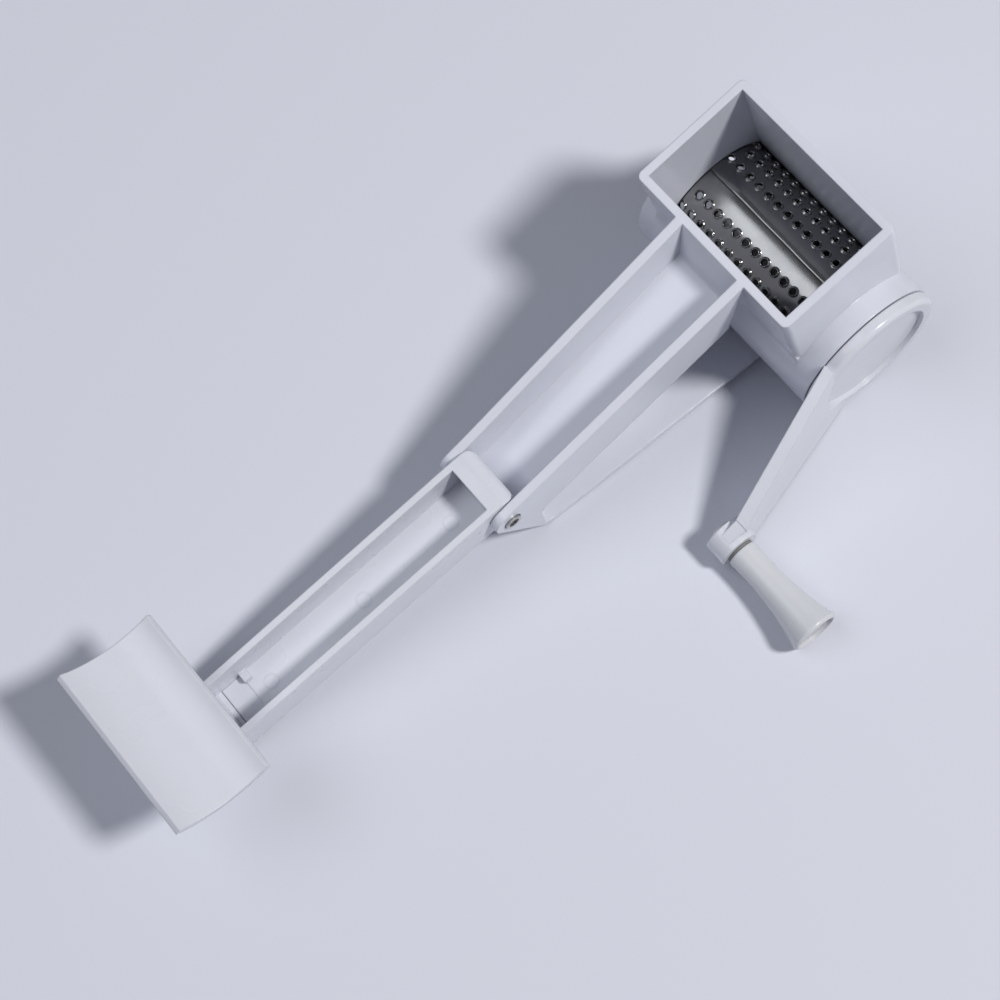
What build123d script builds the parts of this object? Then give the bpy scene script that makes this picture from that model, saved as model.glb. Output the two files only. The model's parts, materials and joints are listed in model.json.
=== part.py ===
from build123d import *
import math
import os

os.makedirs("parts", exist_ok=True)

# Rotary drum shredder lying opened flat: drum axis along Y, crank on the -Y side,
# hopper towards +X, presser arm folded out towards -X. Millimetres, +Z up.

# ---------------------------------------------------------------- drum housing
BARREL_R = 23.9            # outside radius of the drum housing
BARREL_WALL = 2.5
BARREL_Y0 = -38.2          # crank end face
BARREL_Y1 = 37.0           # open outlet end face
END_WALL = 2.6             # end wall that carries the crank bearing
TILT = 14.0                # hopper leans back by this angle at rest

HOPPER_U0 = -18.3          # near long wall, outside, measured from the drum axis
HOPPER_U1 = 22.4           # far long wall, outside
HOPPER_HALF_Y = 31.3       # outside half length
HOPPER_WALL = 2.6
RIM_W = 52.6               # rim height above the drum axis
GROOVE_R = 8.0             # hollow between the long walls and the barrel
CORNER_R = 2.0             # outside vertical corners of the hopper

# ---------------------------------------------------------------- handle
HANDLE_SLOPE = 23.3        # channel tops fall towards the hinge by this angle
HANDLE_LEN = 94.3          # rim to hinge pin along the channel
PIN_DEPTH = 6.3            # hinge pin below the channel tops
NOSE_R = 5.2               # cheek edge around the hinge pin
RAIL_DEPTH = 19.8
RAIL_WALL = 2.9
HALF_W_HOPPER = 14.3       # outside half width of the channel at the hopper
HALF_W_HINGE = 13.2        # and at the hinge
CHANNEL_DRAFT = 2.0        # each side of the channel closes in by this much at the hopper end floor
BULKHEAD_RUN = 0.655       # end face of the channel runs out this far per millimetre of depth
FLOOR_DEPTH_HOPPER = 10.5  # channel floor below the tops at the hopper
FLOOR_DEPTH_HINGE = 15.2
FLOOR_T = 2.4
WEB_T = 3.2                # centre web below the channel
FLANGE_T = 2.0             # bottom flange of the handle
FLANGE_RISE = 1.6          # bottom flange climbs towards the barrel, degrees
FOOT_BACK = 12.5           # foot of the nose, back from the hinge pin
SEAT_GAP = 0.3             # free gap between pieces that only lie side by side

# ---------------------------------------------------------------- drum
DRUM_R = 20.8
DRUM_T = 0.6
DRUM_Y0 = -34.4
DRUM_Y1 = 36.0
HOLE_ROWS = 20             # rows around the drum, with a plain band at the lap seam
ROW_FIRST = 119.7          # angle of the first row at rest, degrees above +X
ROW_STEP = 16.8
HOLES_PER_ROW = 13
HOLE_PITCH = 4.13
HOLE_Y0 = -24.3            # first hole of the even rows
HOLE_R = 1.15
HOLE_SIDES = 8             # facets of one punched hole
SEAM_ANGLE = 94.0          # edge of the lap joint, middle of the plain band
SEAM_T = 0.3               # height of the lapped edge
SEAM_SPAN = 8.0            # width of the lap, degrees
HUB_T = 3.0                # drum drive hub
HUB_BOSS_R = 8.0
HUB_BOSS_Y1 = -24.0
OUTLET_RING_T = 1.4
OUTLET_RING_LEN = 5.0

# ---------------------------------------------------------------- crank
DISC_GAP = 0.4             # daylight between barrel end and crank disc
DISC_R = 23.6
DISC_T = 3.8
DISC_EDGE_R = 1.5
RECESS_R = 19.4
RECESS_DEPTH = 1.5
CRANK_LEN = 67.5           # drum axis to knob axis
ARM_T = 4.2
BOSS_R = 6.6
BOSS_Y0 = -58.0            # outer face of the boss
BOSS_Y1 = -50.6            # inner face of the boss
SHAFT_R = 5.0              # drive shaft moulded on the crank disc
SHAFT_FIT = 0.08           # running clearance on radius
HEX_AF = 8.0               # drive end of the shaft, across flats
HEX_FIT = 0.1
HEX_Y1 = -24.6
SCREW_R = 1.9
SCREW_LEN = 12.0
SCREW_HEAD_R = 4.2
SCREW_HEAD_T = 2.2
DRUM_WASHER_R = 6.5
DRUM_WASHER_T = 1.0
ARM_ROOT = 14.0            # where the crank arm grows out of the disc
ARM_TIP_BACK = 5.0         # last arm section, back from the knob axis

# ---------------------------------------------------------------- knob
KNOB_LEN = 32.6
KNOB_R_NARROW = 4.9
KNOB_R_WAIST = 4.9
KNOB_R_WIDE = 7.8
KNOB_FIT = 0.08
PIN_R = 2.0                # knob pin shank
PIN_HEAD_R = 5.2           # flat cap on the back of the boss
PIN_HEAD_T = 1.3
PIN_STUB = 2.2             # pin beyond the clip
KNOB_WASHER_T = 0.8
KNOB_PLAY = 0.1            # knob end play
CLIP_DEPTH = 10.0          # clip seat below the knob end
CLIP_T = 0.8
PLUG_R = 5.2
PLUG_DEPTH = 6.0           # inner face of the plug below the knob end
PLUG_SINK = 1.2            # dished end of the knob
DISH_R = 6.6
REST_TOUCH = 0.05          # knob rim above the table

# ---------------------------------------------------------------- presser
ARM_HALF_W = 10.0
ARM_WALL = 2.2
ARM_TOP = 8.0              # above the pin line
ARM_BOTTOM = -6.0          # below the pin line
ARM_FLOOR_T = 2.0
ARM_END_R = 4.8
ARM_CORNER_R = 2.5         # block corners seen from above
ARM_BACK = 5.0             # arm end behind the pin
POCKET_START = 3.4
ARM_LEN = 114.0            # pin to the far end, most of the tail under the plate
PLATE_W = 56.0
PLATE_T = 2.0
PLATE_R = 23.5             # radius of the hollow face
PLATE_CHORD = 29.0
PLATE_BACK = 6.2           # middle of the plate chord, back from the arm end
PLATE_Q = 36.7             # height of the chord above the pin line
PLATE_TURN = 20.7          # chord turned up against the arm

STEM_LEN = 11.0            # block under the plate that plugs into the arm
STEM_BACK = 4.0            # from the block to the arm end
STEM_WALL = 2.0
SLOT_LEN = 7.5             # open gap in the arm floor before the block
SLOT_GAP = 1.5
POST_W = 3.4               # two low posts at the end of the floor
POST_T = 2.5
POST_H = 4.5
PEG_R = 1.5
PEG_INSET = 2.0            # peg axis in from the pocket side

HINGE_R = 2.0              # hinge rivet shank
HINGE_BORE_R = 1.2
HINGE_HEAD_R = 2.7
HINGE_HEAD_T = 0.7
HINGE_FIT = 0.06


# ---------------------------------------------------------------- helpers
def turn(u, w, degrees):
    """Turn a point (u, w) of the XZ plane about the drum axis."""
    a = math.radians(degrees)
    return (u * math.cos(a) - w * math.sin(a), u * math.sin(a) + w * math.cos(a))


def housing(u, w):
    """Point of the tilted housing in the drum-axis frame."""
    return turn(u, w, TILT)


def outline(points, y):
    """Closed face at height y from (x, z, corner radius) items."""
    count = len(points)
    ends = []
    for i in range(count):
        x, z, r = points[i]
        p = Vector(x, 0, z)
        before = Vector(points[i - 1][0], 0, points[i - 1][1])
        after = Vector(points[(i + 1) % count][0], 0, points[(i + 1) % count][1])
        if r == 0:
            ends.append((p, p, None))
            continue
        a = (before - p).normalized()
        b = (after - p).normalized()
        half = math.acos(max(-1.0, min(1.0, a.dot(b)))) / 2
        cut = r / math.tan(half)
        middle = p + (a + b).normalized() * (r / math.sin(half) - r)
        ends.append((p + a * cut, p + b * cut, middle))
    lift = Vector(0, y, 0)
    edges = []
    for i in range(count):
        start, stop, middle = ends[i]
        if middle is not None:
            edges.append(Edge.make_three_point_arc(start + lift, middle + lift, stop + lift))
        nxt = ends[(i + 1) % count][0]
        if (nxt - stop).length > 1e-6:
            edges.append(Edge.make_line(stop + lift, nxt + lift))
    return Face(Wire(edges))


def prism(points, y0, y1):
    """Solid between two heights along Y over an XZ outline."""
    full = [p if len(p) == 3 else (p[0], p[1], 0) for p in points]
    return Solid.extrude(outline(full, y0), Vector(0, y1 - y0, 0))


def plan(points, z0, z1):
    """Solid between two heights along Z over an XY polygon."""
    wire = Wire.make_polygon([Vector(x, y, z0) for x, y in points], close=True)
    return Solid.extrude(Face(wire), Vector(0, 0, z1 - z0))


def rod(x, z, r, y0, y1):
    """Cylinder along Y."""
    return Solid.make_cylinder(r, y1 - y0, Plane((x, y0, z), z_dir=(0, 1, 0)))


def lathe(x, z, profile):
    """Solid turned about a Y axis through (x, z); profile items are (radius, y) or arcs."""
    edges = []
    at = None
    for item in profile:
        if len(item) == 2:
            here = Vector(x + item[0], item[1], z)
            if at is not None:
                edges.append(Edge.make_line(at, here))
            at = here
        else:
            mid = Vector(x + item[0], item[1], z)
            here = Vector(x + item[2], item[3], z)
            edges.append(Edge.make_three_point_arc(at, mid, here))
            at = here
    first = Vector(x + profile[0][0], profile[0][1], z)
    if (first - at).length > 1e-6:
        edges.append(Edge.make_line(at, first))
    return Solid.revolve(Face(Wire(edges)), 360, Axis((x, 0, z), (0, 1, 0)))


def one(shape):
    """The single solid of a boolean result."""
    solids = shape.solids()
    assert len(solids) == 1, f"expected one solid, got {len(solids)}"
    return solids[0]


# ---------------------------------------------------------------- handle frame
SLOPE = math.radians(HANDLE_SLOPE)
RIM_NEAR = housing(HOPPER_U0, RIM_W)


def along(s, n):
    """Point of the handle: s from the rim towards the hinge, n above the channel tops."""
    x = RIM_NEAR[0] - s * math.cos(SLOPE) - n * math.sin(SLOPE)
    z = RIM_NEAR[1] - s * math.sin(SLOPE) + n * math.cos(SLOPE)
    return (x, z)


PIN = along(HANDLE_LEN, -PIN_DEPTH)
FLOOR_Z = -BARREL_R        # the table


def handle_plan(inset):
    """Tapered plan of the handle, narrower by inset on each side."""
    hopper = HALF_W_HOPPER - inset
    hinge = HALF_W_HINGE - inset
    near, far = PIN[0] + NOSE_R, PIN[0] - 4 * NOSE_R
    return plan([(0, hopper), (RIM_NEAR[0], hopper), (near, hinge), (far, hinge),
                 (far, -hinge), (near, -hinge), (RIM_NEAR[0], -hopper), (0, -hopper)],
                2 * FLOOR_Z, 3 * RIM_W)


# ---------------------------------------------------------------- body shell
def nose_corner():
    """Corner of the handle outline whose rounding runs concentric with the hinge pin."""
    foot = (PIN[0] + FOOT_BACK, FLOOR_Z)
    dx, dz = PIN[0] - foot[0], PIN[1] - foot[1]
    lean = math.atan2(dz, dx) + math.asin(NOSE_R / math.hypot(dx, dz))
    top = RIM_NEAR
    s = (-math.cos(SLOPE), -math.sin(SLOPE))
    d = (math.cos(lean), math.sin(lean))
    det = s[0] * -d[1] + d[0] * s[1]
    t = ((foot[0] - top[0]) * -d[1] + d[0] * (foot[1] - top[1])) / det
    return foot, (top[0] + t * s[0], top[1] + t * s[1])


def groove(side_u, sign):
    """Hollow fillet between a long hopper wall and the barrel."""
    cu = side_u + sign * GROOVE_R
    cw = math.sqrt((BARREL_R + GROOVE_R) ** 2 - cu ** 2)
    k = BARREL_R / (BARREL_R + GROOVE_R)
    inner = side_u - sign * 1.0
    pts = [housing(inner, cw), housing(cu, cw), housing(cu * k, cw * k), housing(cu * 0.6, cw * 0.6),
           housing(inner, cw * 0.6)]
    wedge = prism(pts, -HOPPER_HALF_Y, HOPPER_HALF_Y)
    return wedge - rod(*housing(cu, cw), GROOVE_R, -HOPPER_HALF_Y - 1, HOPPER_HALF_Y + 1)


def channel_section(s, top, draft):
    """Section of the channel across the handle: half width top at the rails, less by draft at the floor."""
    low = -2 * FLOOR_DEPTH_HINGE
    slim = top + draft * low / FLOOR_DEPTH_HOPPER
    half = [(slim, low), (top, 0), (top, RAIL_DEPTH)]
    ring = half + [(-y, n) for y, n in reversed(half)]
    return Wire.make_polygon([Vector(along(s, n)[0], y, along(s, n)[1]) for y, n in ring], close=True)


def channel_cut():
    """Channel open to the top and to the hinge end, with drafted sides near the hopper."""
    steep = (FLOOR_DEPTH_HINGE - FLOOR_DEPTH_HOPPER) / HANDLE_LEN
    far = HANDLE_LEN + 5 * NOSE_R
    depth = FLOOR_DEPTH_HOPPER / (1 - steep * BULKHEAD_RUN)
    side = prism([along(0, 0), (*along(BULKHEAD_RUN * depth, -depth), 1.5),
                  along(far, -FLOOR_DEPTH_HOPPER - steep * far), along(far, RAIL_DEPTH),
                  along(0, RAIL_DEPTH)],
                 -HALF_W_HOPPER, HALF_W_HOPPER)
    hopper = HALF_W_HOPPER - RAIL_WALL
    hinge = HALF_W_HINGE - RAIL_WALL
    straight = HANDLE_LEN - 2 * ARM_BACK
    walls = Solid.make_loft([channel_section(-1, hopper, CHANNEL_DRAFT), channel_section(straight, hinge, 0),
                             channel_section(far + 1, hinge, 0)], ruled=True)
    return side & walls


def handle_slab():
    foot, nose = nose_corner()
    rise = math.tan(math.radians(FLANGE_RISE))
    under = (-BARREL_R / 3, foot[1] + (foot[0] * -1 - BARREL_R / 3) * rise)
    slab = prism([housing(HOPPER_U0 + 1, RIM_W), RIM_NEAR, (*nose, NOSE_R), (*foot, 6.0), under,
                  (under[0], 0), housing(HOPPER_U0 + 1, BARREL_R)], -HALF_W_HOPPER, HALF_W_HOPPER)
    slab = slab & handle_plan(0)
    slab = slab - channel_cut()
    # side recesses leave rails above, a flange below and a web between
    foot_top = foot[1] + FLANGE_T
    lower = [(*along(HANDLE_LEN - NOSE_R, -RAIL_DEPTH), 4.0), (foot[0] - 1.0, foot_top + 1.0, 3.0),
             (under[0], under[1] + FLANGE_T), (under[0], 0), housing(HOPPER_U0 + 1, BARREL_R)]
    rail_side = [(*along(0.6, -1.2), 0), (*along(BULKHEAD_RUN * RAIL_DEPTH, -RAIL_DEPTH), 3.0), *lower,
                 housing(HOPPER_U0 + 1, RIM_W - 1)]
    floor_low = FLOOR_DEPTH_HOPPER + FLOOR_T + 1.0
    inside = [along(BULKHEAD_RUN * floor_low, -floor_low), along(HANDLE_LEN * 0.75, -RAIL_DEPTH), *lower,
              housing(HOPPER_U0 + 1, RIM_W - floor_low)]
    core = handle_plan(RAIL_WALL)
    for side in (1, -1):
        y0, y1 = sorted((side * WEB_T / 2, side * (HALF_W_HOPPER + 1)))
        slab = slab - (prism(rail_side, y0, y1) - core)
        slab = slab - (prism(inside, y0, y1) & core)
    return slab


def body_shell():
    hopper = prism([housing(HOPPER_U0, 0), housing(HOPPER_U1, 0), housing(HOPPER_U1, RIM_W),
                    housing(HOPPER_U0, RIM_W)], -HOPPER_HALF_Y, HOPPER_HALF_Y)
    upright = Vector(*(housing(0, 1)[0], 0, housing(0, 1)[1]))
    corners = [e for e in hopper.edges() if abs(e.tangent_at(0.5).dot(upright)) > 0.99]
    hopper = hopper.fillet(CORNER_R, corners)
    shell = hopper + rod(0, 0, BARREL_R, BARREL_Y0, BARREL_Y1)
    shell = shell + groove(HOPPER_U0, -1) + groove(HOPPER_U1, 1)
    shell = shell + handle_slab()
    bore_r = BARREL_R - BARREL_WALL
    shell = shell - rod(0, 0, bore_r, BARREL_Y0 + END_WALL, BARREL_Y1 + 1)
    shell = shell - rod(0, 0, SHAFT_R + SHAFT_FIT, BARREL_Y0 - 1, 0)
    inner = HOPPER_HALF_Y - HOPPER_WALL
    u0, u1 = HOPPER_U0 + HOPPER_WALL, HOPPER_U1 - HOPPER_WALL
    shell = shell - prism([housing(u0, 0), housing(u1, 0), housing(u1, RIM_W + 1), housing(u0, RIM_W + 1)],
                          -inner, inner)
    return one(shell - rod(*PIN, HINGE_R, -2 * HALF_W_HINGE, 2 * HALF_W_HINGE))


# ---------------------------------------------------------------- drum and its drive
def drum_sheet():
    sheet = rod(0, 0, DRUM_R, DRUM_Y0, DRUM_Y1) - rod(0, 0, DRUM_R - DRUM_T, DRUM_Y0 - 1, DRUM_Y1 + 1)
    sheet = sheet + lap_seam()
    punches = []
    for row in range(HOLE_ROWS):
        angle = math.radians(ROW_FIRST + ROW_STEP * row)
        out = Vector(math.cos(angle), 0, math.sin(angle))
        shift = HOLE_PITCH / 2 if row % 2 else 0
        for k in range(HOLES_PER_ROW):
            centre = out * (DRUM_R - 2 * DRUM_T) + Vector(0, HOLE_Y0 + shift + HOLE_PITCH * k, 0)
            punches.append(punch(centre, out))
    return one(sheet.cut(*punches))


def lap_seam():
    """Outer edge of the rolled sheet lying over the inner one."""
    reach = 2 * DRUM_R
    corners = [turn(reach, 0, SEAM_ANGLE), turn(reach, 0, SEAM_ANGLE - SEAM_SPAN)]
    wedge = prism([(0, 0), corners[0], corners[1]], DRUM_Y0, DRUM_Y1)
    ring = rod(0, 0, DRUM_R + SEAM_T, DRUM_Y0, DRUM_Y1) - rod(0, 0, DRUM_R - DRUM_T / 2, DRUM_Y0, DRUM_Y1)
    return wedge & ring


def punch(base, out):
    """Faceted punch through the sheet."""
    across = Vector(0, 1, 0)
    other = out.cross(across)
    angles = [2 * math.pi * (k + 0.5) / HOLE_SIDES for k in range(HOLE_SIDES)]
    ring = [base + across * (HOLE_R * math.cos(a)) + other * (HOLE_R * math.sin(a)) for a in angles]
    return Solid.extrude(Face(Wire.make_polygon(ring, close=True)), out * (4 * DRUM_T))


def hexagon(across, y0, y1):
    r = across / math.sqrt(3)
    corners = [turn(r, 0, 60 * k) for k in range(6)]
    return prism(corners, y0, y1)


def drum_hub():
    inner = DRUM_R - DRUM_T
    hub = rod(0, 0, inner, DRUM_Y0, DRUM_Y0 + HUB_T) + rod(0, 0, HUB_BOSS_R, DRUM_Y0, HUB_BOSS_Y1)
    hub = hub - hexagon(HEX_AF + HEX_FIT, DRUM_Y0 - 1, HUB_BOSS_Y1 - 1.5)
    return one(hub - rod(0, 0, SCREW_R + HEX_FIT, DRUM_Y0 - 1, HUB_BOSS_Y1 + 1))


def outlet_ring():
    outer = DRUM_R - DRUM_T
    y0 = DRUM_Y1 - OUTLET_RING_LEN
    return one(rod(0, 0, outer, y0, DRUM_Y1) - rod(0, 0, outer - OUTLET_RING_T, y0 - 1, DRUM_Y1 + 1))


def drum_washer():
    y0 = HUB_BOSS_Y1
    return one(rod(0, 0, DRUM_WASHER_R, y0, y0 + DRUM_WASHER_T) - rod(0, 0, SCREW_R, y0 - 1, y0 + 3))


def drum_screw():
    y0 = HUB_BOSS_Y1 + DRUM_WASHER_T
    head = rod(0, 0, SCREW_HEAD_R, y0, y0 + SCREW_HEAD_T)
    slot = prism([(-SCREW_HEAD_R, -0.6), (SCREW_HEAD_R, -0.6), (SCREW_HEAD_R, 0.6), (-SCREW_HEAD_R, 0.6)],
                 y0 + SCREW_HEAD_T - 1.1, y0 + SCREW_HEAD_T + 1)
    return one(head - slot + rod(0, 0, SCREW_R, y0 - SCREW_LEN, y0))


# ---------------------------------------------------------------- crank
CRANK_ANGLE = 180 + math.degrees(math.asin((BARREL_R - KNOB_R_WIDE - REST_TOUCH) / CRANK_LEN))
KNOB_XZ = turn(CRANK_LEN, 0, CRANK_ANGLE)
DISC_Y1 = BARREL_Y0 - DISC_GAP
DISC_Y0 = DISC_Y1 - DISC_T


def arm_section(r, half, y_out, y_in):
    corners = [(r, -half, y_out), (r, half, y_out), (r, half, y_in), (r, -half, y_in)]
    pts = []
    for u, v, y in corners:
        x, z = turn(u, v, CRANK_ANGLE)
        pts.append(Vector(x, y, z))
    return Wire.make_polygon(pts, close=True)


def crank():
    disc = rod(0, 0, DISC_R, DISC_Y0, DISC_Y1)
    circles = [e for e in disc.edges() if e.geom_type == GeomType.CIRCLE]
    disc = disc.fillet(DISC_EDGE_R, [e for e in circles if e.center().Y < DISC_Y0 + 0.1])
    lean = math.asin((DISC_R - BOSS_R) / CRANK_LEN)
    halves = [(DISC_R - r * math.sin(lean)) / math.cos(lean) for r in (ARM_ROOT, CRANK_LEN - ARM_TIP_BACK)]
    boss_mid = (BOSS_Y0 + BOSS_Y1) / 2
    root = arm_section(ARM_ROOT, halves[0], DISC_Y0, DISC_Y1)
    tip = arm_section(CRANK_LEN - ARM_TIP_BACK, halves[1], boss_mid - ARM_T / 2, boss_mid + ARM_T / 2)
    arm = Solid.make_loft([root, tip], ruled=True)
    piece = disc + arm + rod(*KNOB_XZ, BOSS_R, BOSS_Y0, BOSS_Y1)
    piece = piece - rod(0, 0, RECESS_R, DISC_Y0 - 20, DISC_Y0 + RECESS_DEPTH)
    piece = piece + rod(0, 0, SHAFT_R, DISC_Y1, DRUM_Y0 - SEAT_GAP)
    piece = piece + hexagon(HEX_AF, DRUM_Y0 - SEAT_GAP, HEX_Y1 - 1)
    tapped = HUB_BOSS_Y1 + DRUM_WASHER_T - SCREW_LEN
    piece = piece - rod(0, 0, SCREW_R, tapped, 0)
    return one(piece - rod(*KNOB_XZ, PIN_R, BOSS_Y0 - 1, BOSS_Y1 + 1))


# ---------------------------------------------------------------- knob
KNOB_Y1 = BOSS_Y0 - KNOB_WASHER_T - KNOB_PLAY
KNOB_Y0 = KNOB_Y1 - KNOB_LEN
CLIP_Y = KNOB_Y0 + CLIP_DEPTH
PLUG_Y = KNOB_Y0 + PLUG_DEPTH


def knob():
    x, z = KNOB_XZ
    body = lathe(x, z, [(0, KNOB_Y1), (KNOB_R_NARROW - 0.8, KNOB_Y1),
                        (KNOB_R_NARROW - 0.2, KNOB_Y1 - 0.2, KNOB_R_NARROW, KNOB_Y1 - 0.8),
                        (KNOB_R_WAIST + 0.35, KNOB_Y1 - KNOB_LEN * 0.55, KNOB_R_WIDE, KNOB_Y0 + 1.0),
                        (KNOB_R_WIDE - 0.3, KNOB_Y0 + 0.3, KNOB_R_WIDE - 1.0, KNOB_Y0),
                        (0, KNOB_Y0)])
    body = body - rod(x, z, PIN_R + KNOB_FIT, KNOB_Y0 - 1, KNOB_Y1 + 1)
    body = body - rod(x, z, DISH_R, KNOB_Y0 - 1, KNOB_Y0 + PLUG_SINK)
    return one(body - rod(x, z, PLUG_R, KNOB_Y0 - 1, CLIP_Y))


def knob_plug():
    x, z = KNOB_XZ
    face = KNOB_Y0 + PLUG_SINK
    return one(rod(x, z, PLUG_R, face, PLUG_Y))


def knob_pin():
    x, z = KNOB_XZ
    top = BOSS_Y1 + PIN_HEAD_T
    tip = CLIP_Y - PIN_STUB
    flat = PIN_HEAD_R / 10
    shoulder = PIN_HEAD_R * 0.76
    return lathe(x, z, [(0, tip), (PIN_R, tip), (PIN_R, BOSS_Y1), (PIN_HEAD_R, BOSS_Y1),
                        (shoulder, top - 0.27 * PIN_HEAD_T, flat, top), (0, top)])


def knob_washer():
    y0 = BOSS_Y0 - KNOB_WASHER_T
    return one(rod(*KNOB_XZ, KNOB_R_NARROW - 0.5, y0, BOSS_Y0) - rod(*KNOB_XZ, PIN_R, y0 - 1, BOSS_Y0 + 1))


def knob_clip():
    y0 = CLIP_Y - CLIP_T - SEAT_GAP
    ring = rod(*KNOB_XZ, 2 * PIN_R, y0, y0 + CLIP_T) - rod(*KNOB_XZ, PIN_R, y0 - 1, y0 + 2)
    x, z = KNOB_XZ
    gap = prism([(x - CLIP_T, z), (x + CLIP_T, z), (x + CLIP_T, z + PLUG_R), (x - CLIP_T, z + PLUG_R)],
                y0 - 1, y0 + 2)
    return one(ring - gap)


# ---------------------------------------------------------------- presser
PIN_HEIGHT = PIN[1] + BARREL_R


def rest_slope():
    """Arm slope that lets the far end of the arm touch the table."""
    reach = math.hypot(ARM_LEN, ARM_BOTTOM)
    return math.asin(PIN_HEIGHT / reach) + math.atan2(ARM_BOTTOM, ARM_LEN)


ARM_REST = math.degrees(rest_slope())


def arm_point(p, q):
    """Point of the arm: p from the hinge pin towards the plate, q above the pin line."""
    a = math.radians(ARM_REST)
    return (PIN[0] - p * math.cos(a) - q * math.sin(a), PIN[1] - p * math.sin(a) + q * math.cos(a))


def arm_prism(points, y0, y1):
    full = [p if len(p) == 3 else (p[0], p[1], 0) for p in points]
    return prism([(*arm_point(p, q), r) for p, q, r in full], y0, y1)


STEM_P1 = ARM_LEN - STEM_BACK
STEM_P0 = STEM_P1 - STEM_LEN
STEM_HALF = ARM_HALF_W - ARM_WALL
FLOOR_TOP = ARM_BOTTOM + ARM_FLOOR_T


def block_corner(side):
    """Cutter that rounds one corner of the arm's end block, seen from above."""
    far = -2 * ARM_BACK
    inner = side * (ARM_HALF_W - ARM_CORNER_R)
    y0, y1 = sorted((inner, side * 2 * ARM_HALF_W))
    box = arm_prism([(far, 2 * ARM_BOTTOM), (ARM_CORNER_R - ARM_BACK, 2 * ARM_BOTTOM),
                     (ARM_CORNER_R - ARM_BACK, 2 * ARM_TOP), (far, 2 * ARM_TOP)], y0, y1)
    x0, z0 = arm_point(ARM_CORNER_R - ARM_BACK, 3 * ARM_BOTTOM)
    x1, z1 = arm_point(ARM_CORNER_R - ARM_BACK, 3 * ARM_TOP)
    axis = Vector(x1 - x0, 0, z1 - z0)
    post = Solid.make_cylinder(ARM_CORNER_R, axis.length, Plane((x0, inner, z0), z_dir=axis))
    return box - post


def presser_arm():
    arm = arm_prism([(-ARM_BACK, ARM_BOTTOM, ARM_END_R), (-ARM_BACK, ARM_TOP, ARM_END_R),
                     (ARM_LEN, ARM_TOP, 1.0), (ARM_LEN, ARM_BOTTOM, 1.0)], -ARM_HALF_W, ARM_HALF_W)
    arm = arm - block_corner(1) - block_corner(-1)
    end = ARM_LEN - ARM_WALL
    pocket = arm_prism([(POCKET_START, FLOOR_TOP, 1.0), (end, FLOOR_TOP), (end, ARM_TOP + 1),
                        (POCKET_START, ARM_TOP + 1)], -STEM_HALF, STEM_HALF)
    arm = arm - pocket
    slot_end = STEM_P0 - SLOT_GAP
    post_p = slot_end - SLOT_LEN
    arm = arm - arm_prism([(post_p, ARM_BOTTOM - 1), (slot_end, ARM_BOTTOM - 1), (slot_end, FLOOR_TOP + 1),
                           (post_p, FLOOR_TOP + 1)], -STEM_HALF, STEM_HALF)
    for side in (1, -1):
        y0, y1 = sorted((side * (STEM_HALF - POST_W), side * STEM_HALF))
        post = arm_prism([(post_p - POST_T, ARM_BOTTOM), (post_p, ARM_BOTTOM), (post_p, ARM_BOTTOM + POST_H),
                          (post_p - POST_T, ARM_BOTTOM + POST_H)], y0, y1)
        arm = arm + post
        arm = arm - peg(side, ARM_BOTTOM - 1, FLOOR_TOP + 1)
    return one(arm - rod(*PIN, HINGE_R + HINGE_FIT, -2 * ARM_HALF_W, 2 * ARM_HALF_W))


def peg(side, q0, q1):
    """Round peg square to the arm."""
    p = (STEM_P0 + STEM_P1) / 2
    x0, z0 = arm_point(p, q0)
    x1, z1 = arm_point(p, q1)
    axis = Vector(x1 - x0, 0, z1 - z0)
    y = side * (STEM_HALF - PEG_INSET)
    return Solid.make_cylinder(PEG_R, axis.length, Plane((x0, y, z0), z_dir=axis))


def presser_plate():
    a = math.radians(PLATE_TURN)
    depth = math.sqrt(PLATE_R ** 2 - (PLATE_CHORD / 2) ** 2)
    cp = ARM_LEN - PLATE_BACK - depth * math.sin(a)
    cq = PLATE_Q + depth * math.cos(a)
    half = math.degrees(math.asin(PLATE_CHORD / 2 / PLATE_R))

    def edge(r, turn_deg):
        t = math.radians(turn_deg) + a
        return arm_point(cp + r * math.sin(t), cq - r * math.cos(t))

    def arc(r, t0, t1, y):
        pts = [Vector(*(edge(r, t)[0], y, edge(r, t)[1])) for t in (t0, (t0 + t1) / 2, t1)]
        return Edge.make_three_point_arc(*pts)

    y0 = -PLATE_W / 2
    outer = PLATE_R + PLATE_T
    inner_arc = arc(PLATE_R, -half, half, y0)
    outer_arc = arc(outer, half, -half, y0)
    edges = [inner_arc, Edge.make_line(inner_arc @ 1, outer_arc @ 0), outer_arc,
             Edge.make_line(outer_arc @ 1, inner_arc @ 0)]
    plate = Solid.extrude(Face(Wire(edges)), Vector(0, PLATE_W, 0))
    bottom = FLOOR_TOP
    top = cq
    stem = arm_prism([(STEM_P0, bottom), (STEM_P1, bottom), (STEM_P1, top), (STEM_P0, top)],
                     -STEM_HALF, STEM_HALF)
    wall = STEM_WALL
    room = STEM_HALF - PEG_INSET - PEG_R
    hollow = arm_prism([(STEM_P0 + wall, bottom - 1), (STEM_P1 - wall, bottom - 1), (STEM_P1 - wall, top + 1),
                        (STEM_P0 + wall, top + 1)], -room, room)
    stem = stem - hollow
    stem = stem - rod(*arm_point(cp, cq), PLATE_R + PLATE_T / 2, -PLATE_W, PLATE_W)
    piece = plate + stem
    for side in (1, -1):
        piece = piece + peg(side, ARM_BOTTOM + 0.2, bottom + 1)
    return one(piece)


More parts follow.
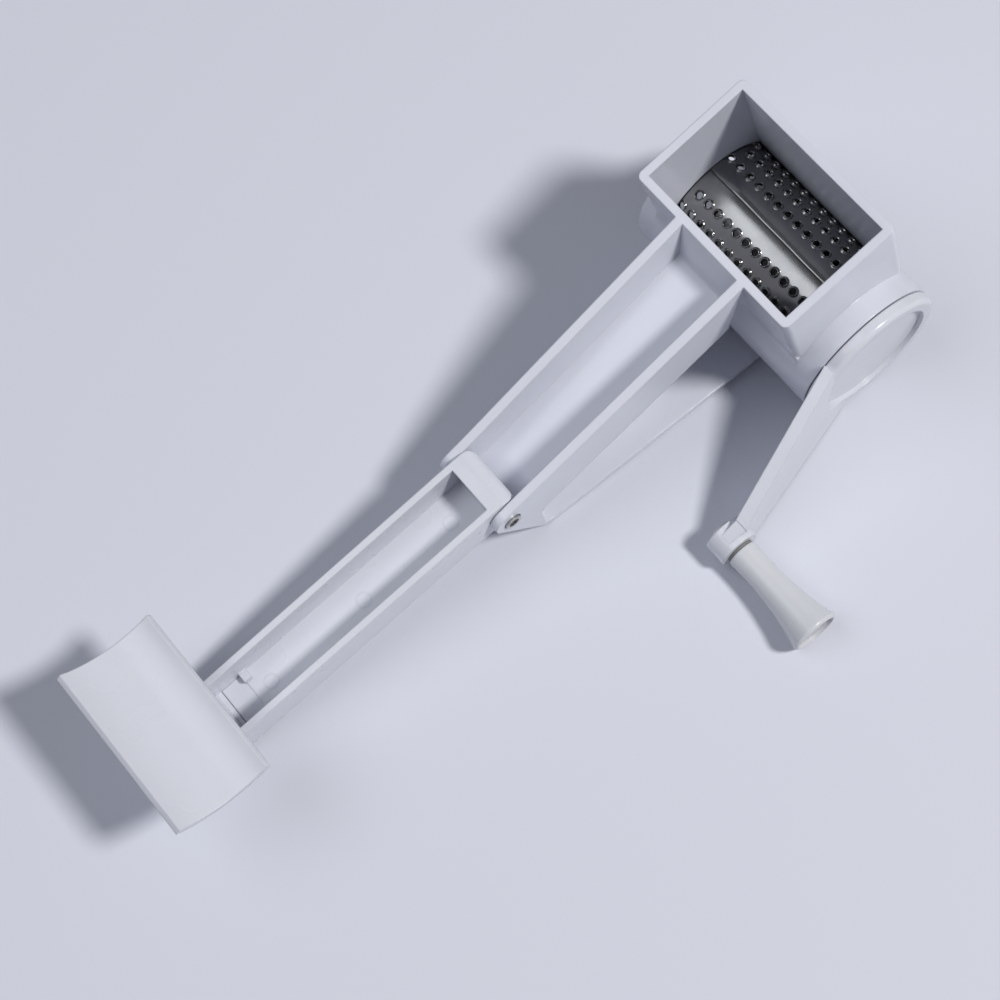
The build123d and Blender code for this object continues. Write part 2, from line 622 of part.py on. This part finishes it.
def hinge_rivet():
    x, z = PIN
    r = HINGE_HEAD_R
    out = HALF_W_HINGE + HINGE_HEAD_T
    tube = lathe(x, z, [(HINGE_BORE_R, -out), (r, -out), (r, -HALF_W_HINGE), (HINGE_R, -HALF_W_HINGE),
                        (HINGE_R, HALF_W_HINGE), (r, HALF_W_HINGE), (r, out), (HINGE_BORE_R, out)])
    return one(tube)


PARTS = {
    "body_shell": body_shell,
    "drum_sheet": drum_sheet,
    "drum_drive_hub": drum_hub,
    "drum_outlet_ring": outlet_ring,
    "drum_washer": drum_washer,
    "drum_screw": drum_screw,
    "crank_arm": crank,
    "knob_grip": knob,
    "knob_end_plug": knob_plug,
    "knob_pin": knob_pin,
    "knob_washer": knob_washer,
    "knob_clip": knob_clip,
    "presser_arm": presser_arm,
    "presser_plate": presser_plate,
    "hinge_rivet": hinge_rivet,
}

shapes = {name: make() for name, make in PARTS.items()}
boxes = [shape.bounding_box() for shape in shapes.values()]
low = [min(getattr(b.min, axis) for b in boxes) for axis in "XYZ"]
high = [max(getattr(b.max, axis) for b in boxes) for axis in "XYZ"]
home = Vector(-(low[0] + high[0]) / 2, -(low[1] + high[1]) / 2, -low[2])
for name, shape in shapes.items():
    export_step(shape.moved(Location(home)), f"parts/{name}.step")
    size = shape.bounding_box().size
    print(f"{name:18s} {size.X:7.1f} {size.Y:7.1f} {size.Z:7.1f}  volume {shape.volume:9.0f}")
print("home", home, "low", low, "high", high, "pin", PIN, "knob", KNOB_XZ, "arm rest", ARM_REST)
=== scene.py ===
import json
import math
import random
import bpy
from mathutils import Matrix, Vector


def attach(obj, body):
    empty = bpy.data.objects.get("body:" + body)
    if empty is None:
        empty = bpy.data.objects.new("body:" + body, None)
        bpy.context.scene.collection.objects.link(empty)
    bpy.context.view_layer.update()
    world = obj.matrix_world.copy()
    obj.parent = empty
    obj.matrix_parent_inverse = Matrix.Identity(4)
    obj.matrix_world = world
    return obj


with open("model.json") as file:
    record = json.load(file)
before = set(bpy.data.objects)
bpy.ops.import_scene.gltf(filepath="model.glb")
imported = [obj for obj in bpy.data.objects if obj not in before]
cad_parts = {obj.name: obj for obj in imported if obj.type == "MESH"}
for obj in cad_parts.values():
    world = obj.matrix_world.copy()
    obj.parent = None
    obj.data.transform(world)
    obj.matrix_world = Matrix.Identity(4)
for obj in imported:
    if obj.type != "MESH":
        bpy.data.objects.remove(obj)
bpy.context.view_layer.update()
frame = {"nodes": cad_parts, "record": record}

# Lengths are in mm unless they end in _M or stand for a point of the frame, which is in metres.
MM = 0.001
AXIS_X, AXIS_Z = 0.109631, 0.0239      # drum axis
MID_Y = 0.02725                        # middle of the drum, hopper and handle

# Drum, as in part.py
DRUM_R = 20.8
DRUM_START, DRUM_LENGTH = -34.2, 70.0
ROW_FIRST, ROW_STEP, HOLE_ROWS = 119.7, 16.8, 20
HOLE_PITCH, HOLE_START, HOLES_PER_ROW = 4.13, -24.3, 13

# Lip round each punched hole: (distance from the hole's centre, height above the sheet)
LIP_PROFILE = ((1.75, 0.0), (1.5, 0.16), (1.32, 0.55), (1.24, 0.78), (1.12, 0.7), (1.06, 0.1),
               (1.06, -0.6))
LIP_SEGMENTS, LIP_RAGGED = 14, 0.22
RAGGED_FROM = 0.2                      # lower points of a ring stay even

# Lap of the sheet: (angle, height above the sheet)
LAP_ROWS = ((93.0, 0.29), (94.2, 0.31), (96.0, 0.26), (97.9, 0.3), (98.3, 0.24), (98.4, -0.05))
# Painted shade: near-black strip at the foot of the lap's edge, as (angle, height above the
# sheet)
LAP_SHADE_ROWS = ((98.2, 0.05), (98.6, 0.07), (99.4, 0.06), (99.6, -0.02))
LAP_STEPS = 36
LAP_WAVE, LAP_WAVE_STEP, LAP_JITTER = 0.12, 0.7, 0.05

# Presser arm, in its own plane: p runs from the pin to the plate, and q rises from the pin
PIN_X, PIN_Z = -0.004968, 0.027424     # hinge pin
ARM_SLOPE = math.radians(10.887)       # the arm at rest falls this much towards the plate
ARM_FLOOR = -4.0
TONGUE_P = (89.0, 97.3)                # from the floor's end to the block under the plate
TONGUE_Q = (-6.0, -4.02)
TONGUE_HALF = 7.78
EJECTOR_P = (14.0, 48.0, 84.0)
EJECTOR_PROFILE = ((2.45, -0.02), (2.35, 0.09), (2.1, 0.09), (2.0, -0.02))
EJECTOR_SEGMENTS = 32

# Hinge rivet: (radius, height above the cheek)
CHEEK_Y = 13.2                         # outer face of the handle at the hinge
# dark ring round the foot of the rivet head
RIVET_RING, RIVET_RING_SEGMENTS = ((3.0, 0.01), (2.9, 0.04), (2.6, 0.05)), 28
# painted shade: near-black ring in the mouth of the rivet's bore
RIVET_BORE_SHADE, RIVET_BORE_SHADE_SEGMENTS = ((1.7, 0.72), (1.5, 0.73), (0.9, 0.72)), 24

# Crank, as in part.py
DISC_R, BOSS_R, CRANK_LEN, CRANK_ANGLE = 23.6, 6.6, 67.5, 193.755
ARM_END = 62.4                         # where the solid arm ends, from the drum axis
BLEND_SINK = 0.02                      # keeps the blend's start under the arm's sides
BLEND_Y = (-56.38, -52.22)
BLEND_EDGE, BLEND_EDGE_SEGMENTS = 0.4, 3

# Plastic: a noise is (scale, detail, roughness), and the stops of a ramp are places on its noise
CLOUD_NOISE, CLOUD_STOPS = (38.0, 5.0, 0.55), (0.35, 0.7)
SPECK_NOISE, SPECK_STOPS = (1300.0, 2.0, 0.6), (0.80, 0.84)
SPECK_SHARE, SPECK_SHADE = 0.3, 0.6
RUB_NOISE, RUB_STOPS, RUB_ROUGHNESS = (60.0, 2.0, 0.5), (0.35, 0.7), (0.9, 1.25)
WAVE_NOISE, WAVE_STRENGTH, WAVE_DEPTH_M = (24.0, 2.0, 0.55), 0.025, 0.0003
EDGE_RADIUS, EDGE_SAMPLES = 0.6, 6     # softens the shading of edges, not their shape
PLASTIC_IOR = 1.49
SUBSURFACE, SUBSURFACE_RADIUS, SUBSURFACE_SCALE_M = 0.08, (1.0, 0.95, 0.9), 0.002

# Metal
GRAIN_NOISE, GRAIN_STOPS, GRAIN_ROUGHNESS = (260.0, 6.0, 0.6), (0.3, 0.7), (0.8, 1.35)
GRAIN_STRENGTH, GRAIN_DEPTH_M = 0.15, 0.0001
STAIN_NOISE, STAIN_STOPS = (70.0, 5.0, 0.6), (0.45, 0.75)
STAIN_SHARE, STAIN_TINT = 0.45, (0.6, 0.58, 0.55)

# Studio
FLOOR_COLOUR, FLOOR_ROUGHNESS, FLOOR_SPECULAR = (0.67, 0.685, 0.755, 1.0), 0.9, 0.2
FLOOR_HALF_M = 6.0
LIGHT_AIM = (0.0, 0.0, 0.03)
KEY = {"direction": (0.34, -0.45, 0.82), "distance": 2.6, "size": 0.42, "watts": 50.0,
       "colour": (1.0, 0.99, 0.98)}
FILL = {"direction": (-0.42, 0.33, 0.9), "distance": 1.8, "size": 1.3, "watts": 8.5,
        "colour": (0.90, 0.93, 1.0)}
WORLD_COLOUR, WORLD_STRENGTH = (0.86, 0.89, 1.0, 1.0), 0.15
CAM_ELEV, CAM_AZIM, CAM_ROLL = 70.723, -31.735, 8.134
CAM_POS = (-0.10866, -0.14833, 0.59798)
LENS, SENSOR = 75.059, 36.0
CLIP_START_M, CLIP_END_M = 0.01, 20.0

BLACK, WHITE = (0, 0, 0), (1, 1, 1)
rng = random.Random(7)


# ---------------------------------------------------------------- materials
def new_material(name):
    mat = bpy.data.materials.new(name)
    mat.use_nodes = True
    nodes = mat.node_tree.nodes
    return mat, nodes, mat.node_tree.links, nodes["Principled BSDF"]


def noise(nodes, links, coord, scale, detail, rough):
    n = nodes.new("ShaderNodeTexNoise")
    n.inputs["Scale"].default_value = scale
    n.inputs["Detail"].default_value = detail
    n.inputs["Roughness"].default_value = rough
    links.new(coord, n.inputs["Vector"])
    return n.outputs["Fac"]


def ramp(nodes, links, src, stops, colours):
    """Two colours at two places on src."""
    r = nodes.new("ShaderNodeValToRGB")
    for element, place, colour in zip(r.color_ramp.elements, stops, colours):
        element.position = place
        element.color = (*colour, 1.0)
    links.new(src, r.inputs["Fac"])
    return r.outputs["Color"]


def share(nodes, links, src, factor):
    """src times a bare number."""
    n = nodes.new("ShaderNodeMath")
    n.operation = "MULTIPLY"
    n.inputs[1].default_value = factor
    links.new(src, n.inputs[0])
    return n.outputs[0]


def mix(nodes, links, fac, a, b):
    """Mix of two colours, each a tuple or a socket."""
    m = nodes.new("ShaderNodeMix")
    m.data_type = "RGBA"
    links.new(fac, m.inputs["Factor"])
    for name, value in (("A", a), ("B", b)):
        socket = [i for i in m.inputs if i.name == name and i.type == "RGBA"][0]
        if isinstance(value, tuple):
            socket.default_value = (*value, 1.0)
        else:
            links.new(value, socket)
    return [o for o in m.outputs if o.type == "RGBA"][0]


def grey(value):
    return (min(1.0, value),) * 3


def bump(nodes, links, height, strength, depth_m):
    n = nodes.new("ShaderNodeBump")
    n.inputs["Strength"].default_value = strength
    n.inputs["Distance"].default_value = depth_m
    links.new(height, n.inputs["Height"])
    return n


def plastic(name, colour, rough, tint):
    """Moulded plastic with faint cloudiness, fine specks, rubbed patches and softened edges."""
    mat, nodes, links, bsdf = new_material(name)
    coord = nodes.new("ShaderNodeTexCoord").outputs["Object"]
    cloud = noise(nodes, links, coord, *CLOUD_NOISE)
    clouded = tuple(c * t for c, t in zip(colour, tint))
    base = ramp(nodes, links, cloud, CLOUD_STOPS, (colour, clouded))
    speck = noise(nodes, links, coord, *SPECK_NOISE)
    dots = ramp(nodes, links, speck, SPECK_STOPS, (BLACK, WHITE))
    dark = tuple(c * SPECK_SHADE for c in colour)
    specked = mix(nodes, links, share(nodes, links, dots, SPECK_SHARE), base, dark)
    links.new(specked, bsdf.inputs["Base Color"])
    rub = noise(nodes, links, coord, *RUB_NOISE)
    gloss = ramp(nodes, links, rub, RUB_STOPS, [grey(rough * k) for k in RUB_ROUGHNESS])
    links.new(gloss, bsdf.inputs["Roughness"])
    waves = noise(nodes, links, coord, *WAVE_NOISE)
    relief = bump(nodes, links, waves, WAVE_STRENGTH, WAVE_DEPTH_M)
    soft = nodes.new("ShaderNodeBevel")
    soft.samples = EDGE_SAMPLES
    soft.inputs["Radius"].default_value = EDGE_RADIUS * MM
    links.new(soft.outputs["Normal"], relief.inputs["Normal"])
    links.new(relief.outputs["Normal"], bsdf.inputs["Normal"])
    bsdf.inputs["IOR"].default_value = PLASTIC_IOR
    bsdf.inputs["Subsurface Weight"].default_value = SUBSURFACE
    bsdf.inputs["Subsurface Radius"].default_value = SUBSURFACE_RADIUS
    bsdf.inputs["Subsurface Scale"].default_value = SUBSURFACE_SCALE_M
    return mat


def metal(name, colour, rough, stretch=(1.0, 1.0, 1.0)):
    """Rolled or plated steel with a drawn grain and dull patches."""
    mat, nodes, links, bsdf = new_material(name)
    coord = nodes.new("ShaderNodeTexCoord").outputs["Object"]
    mapping = nodes.new("ShaderNodeMapping")
    mapping.inputs["Scale"].default_value = stretch
    links.new(coord, mapping.inputs["Vector"])
    grain = noise(nodes, links, mapping.outputs["Vector"], *GRAIN_NOISE)
    patch = noise(nodes, links, coord, *STAIN_NOISE)
    spots = ramp(nodes, links, patch, STAIN_STOPS, (BLACK, WHITE))
    stain = tuple(c * s for c, s in zip(colour, STAIN_TINT))
    stained = mix(nodes, links, share(nodes, links, spots, STAIN_SHARE), colour, stain)
    links.new(stained, bsdf.inputs["Base Color"])
    gloss = ramp(nodes, links, grain, GRAIN_STOPS, [grey(rough * k) for k in GRAIN_ROUGHNESS])
    links.new(gloss, bsdf.inputs["Roughness"])
    relief = bump(nodes, links, grain, GRAIN_STRENGTH, GRAIN_DEPTH_M)
    links.new(relief.outputs["Normal"], bsdf.inputs["Normal"])
    bsdf.inputs["Metallic"].default_value = 1.0
    return mat


# name: (colour, roughness, tint of the clouds)
PLASTICS = {
    "shell_plastic": ((0.70, 0.715, 0.785), 0.18, (0.97, 0.97, 0.975)),
    "crank_plastic": ((0.69, 0.705, 0.755), 0.17, (0.97, 0.97, 0.97)),
    "arm_plastic": ((0.685, 0.70, 0.755), 0.28, (0.97, 0.97, 0.975)),
    "knob_plastic": ((0.64, 0.65, 0.68), 0.28, (0.97, 0.97, 0.96)),
    # washer_plastic: its near-black grey is partly the washer's own dark tone and partly painted
    # shade of the gap it sits in
    "washer_plastic": ((0.22, 0.22, 0.21), 0.5, (0.95, 0.95, 0.94)),
    # near-black: painted shade along the drum's lap and in the rivet bores, and the dark rings
    # round the rivet heads
    "near_black": ((0.06, 0.06, 0.055), 0.6, (0.8, 0.8, 0.8)),
}
# name: (colour, roughness, stretch of the grain)
METALS = {
    "punched_steel": ((0.29, 0.29, 0.285), 0.18, (1.0, 0.15, 1.0)),
    "zinc_steel": ((0.60, 0.60, 0.59), 0.32, (1.0, 1.0, 1.0)),
}
MATERIALS = {name: plastic(name, *look) for name, look in PLASTICS.items()}
MATERIALS.update({name: metal(name, *look) for name, look in METALS.items()})
slot_of = {s["node"]: s["material_slot"] for s in frame["record"]["subparts"]}
for node, obj in frame["nodes"].items():
    obj.data.materials.clear()
    obj.data.materials.append(MATERIALS[slot_of[node]])


# ---------------------------------------------------------------- extra pieces
def mesh_object(name, verts, faces, slot, body, look=None, smooth=True):
    """Piece that rides on a body, with the look given, or else the look of the record's material
    slot.
    """
    mesh = bpy.data.meshes.new(name)
    mesh.from_pydata(verts, [], faces)
    mesh.update()
    mesh.polygons.foreach_set("use_smooth", [smooth] * len(mesh.polygons))
    mesh.materials.append(MATERIALS[look or slot])
    obj = bpy.data.objects.new(name, mesh)
    bpy.context.scene.collection.objects.link(obj)
    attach(obj, body)
    return obj


def drum_point(angle, y, radius):
    a = math.radians(angle)
    return Vector((AXIS_X + radius * MM * math.cos(a), MID_Y + y * MM,
                   AXIS_Z + radius * MM * math.sin(a)))


def arm_point(p, y, q):
    return Vector((PIN_X - (p * math.cos(ARM_SLOPE) + q * math.sin(ARM_SLOPE)) * MM,
                   MID_Y + y * MM,
                   PIN_Z - (p * math.sin(ARM_SLOPE) - q * math.cos(ARM_SLOPE)) * MM))


def lathe_ring(verts, faces, place, profile, segments, ragged=0.0):
    """Adds a ring: place(radius, turn, height) is the point, profile lists (radius, height)."""
    base = len(verts)
    rough = [1 + ragged * rng.uniform(-1, 1) for _ in range(segments)]
    for r, h in profile:
        for j in range(segments):
            height = h * rough[j] if h > RAGGED_FROM else h
            verts.append(place(r, 2 * math.pi * j / segments, height))
    for i in range(len(profile) - 1):
        for j in range(segments):
            a = base + i * segments + j
            b = base + i * segments + (j + 1) % segments
            faces.append((a, b, b + segments, a + segments))


def drum_lips():
    """Ragged rim thrown up round each punched hole."""
    verts, faces = [], []
    for row in range(HOLE_ROWS):
        angle = ROW_FIRST + ROW_STEP * row
        shift = HOLE_PITCH / 2 if row % 2 else 0.0
        for k in range(HOLES_PER_ROW):
            y = HOLE_START + shift + HOLE_PITCH * k

            def place(r, t, h):
                turn = math.degrees(r * math.cos(t) / DRUM_R)
                return drum_point(angle + turn, y + r * math.sin(t), DRUM_R + h)

            lathe_ring(verts, faces, place, LIP_PROFILE, LIP_SEGMENTS, LIP_RAGGED)
    mesh_object("drum_lips", verts, faces, "punched_steel", "drum_crank")


def drum_strip(name, rows, look=None):
    """Slightly wavy strip that runs along the drum."""
    verts, faces = [], []
    for i in range(LAP_STEPS + 1):
        y = DRUM_START + DRUM_LENGTH * i / LAP_STEPS
        wave = LAP_WAVE * math.sin(LAP_WAVE_STEP * i) + LAP_JITTER * rng.uniform(-1, 1)
        for angle, h in rows:
            verts.append(drum_point(angle + wave, y, DRUM_R + h))
    n = len(rows)
    for i in range(LAP_STEPS):
        for j in range(n - 1):
            a = i * n + j
            faces.append((a, a + 1, a + n + 1, a + n))
    mesh_object(name, verts, faces, "punched_steel", "drum_crank", look)


def arm_tongue():
    """Thin tongue of the arm floor that runs on to the plate's block."""
    verts = [arm_point(p, y, q) for p in TONGUE_P for y in (-TONGUE_HALF, TONGUE_HALF)
             for q in TONGUE_Q]
    faces = [(0, 1, 3, 2), (4, 6, 7, 5), (0, 4, 5, 1), (2, 3, 7, 6), (1, 5, 7, 3), (0, 2, 6, 4)]
    mesh_object("arm_tongue", verts, faces, "arm_plastic", "presser", smooth=False)


def crank_blend():
    """Carries the crank arm tangent into its boss."""
    lean = math.asin((DISC_R - BOSS_R) / CRANK_LEN)
    start_v = (DISC_R - ARM_END * math.sin(lean)) / math.cos(lean) - BLEND_SINK
    touch_u = CRANK_LEN + BOSS_R * math.sin(lean)
    touch_v = BOSS_R * math.cos(lean)
    corners = [(ARM_END, -start_v), (touch_u, -touch_v), (touch_u, touch_v), (ARM_END, start_v)]
    a = math.radians(CRANK_ANGLE)
    verts = [Vector((AXIS_X + (u * math.cos(a) - v * math.sin(a)) * MM, MID_Y + y * MM,
                     AXIS_Z + (u * math.sin(a) + v * math.cos(a)) * MM))
             for y in BLEND_Y for u, v in corners]
    faces = [(3, 2, 1, 0), (4, 5, 6, 7)]
    faces += [(k, (k + 1) % 4, 4 + (k + 1) % 4, 4 + k) for k in range(4)]
    obj = mesh_object("crank_blend", verts, faces, "crank_plastic", "drum_crank", smooth=False)
    bevel = obj.modifiers.new("edge", "BEVEL")
    bevel.width = BLEND_EDGE * MM
    bevel.segments = BLEND_EDGE_SEGMENTS


def rivet_eyelets():
    """Dark ring round the head of the hinge rivet, and painted shade in its bore, on both
    cheeks.
    """
    for side in (1, -1):
        def place(r, t, h):
            return Vector((PIN_X + r * MM * math.cos(t), MID_Y + side * (CHEEK_Y + h) * MM,
                           PIN_Z + r * MM * math.sin(t)))

        for name, profile, segments in (
                (f"rivet_ring_{side}", RIVET_RING, RIVET_RING_SEGMENTS),
                (f"rivet_bore_shade_{side}", RIVET_BORE_SHADE, RIVET_BORE_SHADE_SEGMENTS)):
            verts, faces = [], []
            lathe_ring(verts, faces, place, profile, segments)
            mesh_object(name, verts, faces, "zinc_steel", "housing", "near_black")


def ejector_marks():
    """Faint raised rings left by the mould's ejector pins on the arm floor."""
    verts, faces = [], []
    for along in EJECTOR_P:
        def place(r, t, h):
            return arm_point(along + r * math.cos(t), r * math.sin(t), ARM_FLOOR + h)

        lathe_ring(verts, faces, place, EJECTOR_PROFILE, EJECTOR_SEGMENTS)
    mesh_object("ejector_marks", verts, faces, "arm_plastic", "presser")


drum_lips()
drum_strip("drum_lap", LAP_ROWS)
# near-black strip of painted shade along the lap's edge
drum_strip("drum_lap_shade", LAP_SHADE_ROWS, "near_black")
arm_tongue()
crank_blend()
rivet_eyelets()
ejector_marks()


# ---------------------------------------------------------------- studio
def floor():
    mat, _, _, bsdf = new_material("studio_floor")
    bsdf.inputs["Base Color"].default_value = FLOOR_COLOUR
    bsdf.inputs["Roughness"].default_value = FLOOR_ROUGHNESS
    bsdf.inputs["Specular IOR Level"].default_value = FLOOR_SPECULAR
    mesh = bpy.data.meshes.new("studio_floor")
    e = FLOOR_HALF_M
    mesh.from_pydata([(-e, -e, 0), (e, -e, 0), (e, e, 0), (-e, e, 0)], [], [(0, 1, 2, 3)])
    mesh.materials.append(mat)
    obj = bpy.data.objects.new("studio_floor", mesh)
    bpy.context.scene.collection.objects.link(obj)


def area(name, direction, distance, size, watts, colour):
    """Round soft light that looks at LIGHT_AIM; distance and size are in metres."""
    data = bpy.data.lights.new(name, "AREA")
    data.shape = "DISK"
    data.size = size
    data.energy = watts
    data.color = colour
    obj = bpy.data.objects.new(name, data)
    d = Vector(direction).normalized()
    obj.location = Vector(LIGHT_AIM) + d * distance
    obj.rotation_mode = "QUATERNION"
    obj.rotation_quaternion = (-d).to_track_quat("-Z", "Y")
    bpy.context.scene.collection.objects.link(obj)


def camera():
    """Camera at the photograph's angle, as fitted to the object's outline."""
    data = bpy.data.cameras.new("camera")
    data.sensor_width = SENSOR
    data.lens = LENS
    data.clip_start = CLIP_START_M
    data.clip_end = CLIP_END_M
    obj = bpy.data.objects.new("camera", data)
    elev, azim, roll = (math.radians(v) for v in (CAM_ELEV, CAM_AZIM, CAM_ROLL))
    back = Vector((math.sin(azim) * math.cos(elev), -math.cos(azim) * math.cos(elev),
                   math.sin(elev)))
    level_right = Vector((math.cos(azim), math.sin(azim), 0))
    level_up = back.cross(level_right)
    right = math.cos(roll) * level_right - math.sin(roll) * level_up
    up = math.sin(roll) * level_right + math.cos(roll) * level_up
    turn = Matrix((right, up, back)).transposed()
    obj.matrix_world = Matrix.Translation(Vector(CAM_POS)) @ turn.to_4x4()
    bpy.context.scene.collection.objects.link(obj)
    bpy.context.scene.camera = obj


def sky():
    world = bpy.data.worlds.new("studio")
    bpy.context.scene.world = world
    world.use_nodes = True
    background = world.node_tree.nodes["Background"]
    background.inputs["Color"].default_value = WORLD_COLOUR
    background.inputs["Strength"].default_value = WORLD_STRENGTH


floor()
camera()
area("key", **KEY)
area("fill", **FILL)
sky()
bpy.context.scene.view_settings.view_transform = "Standard"
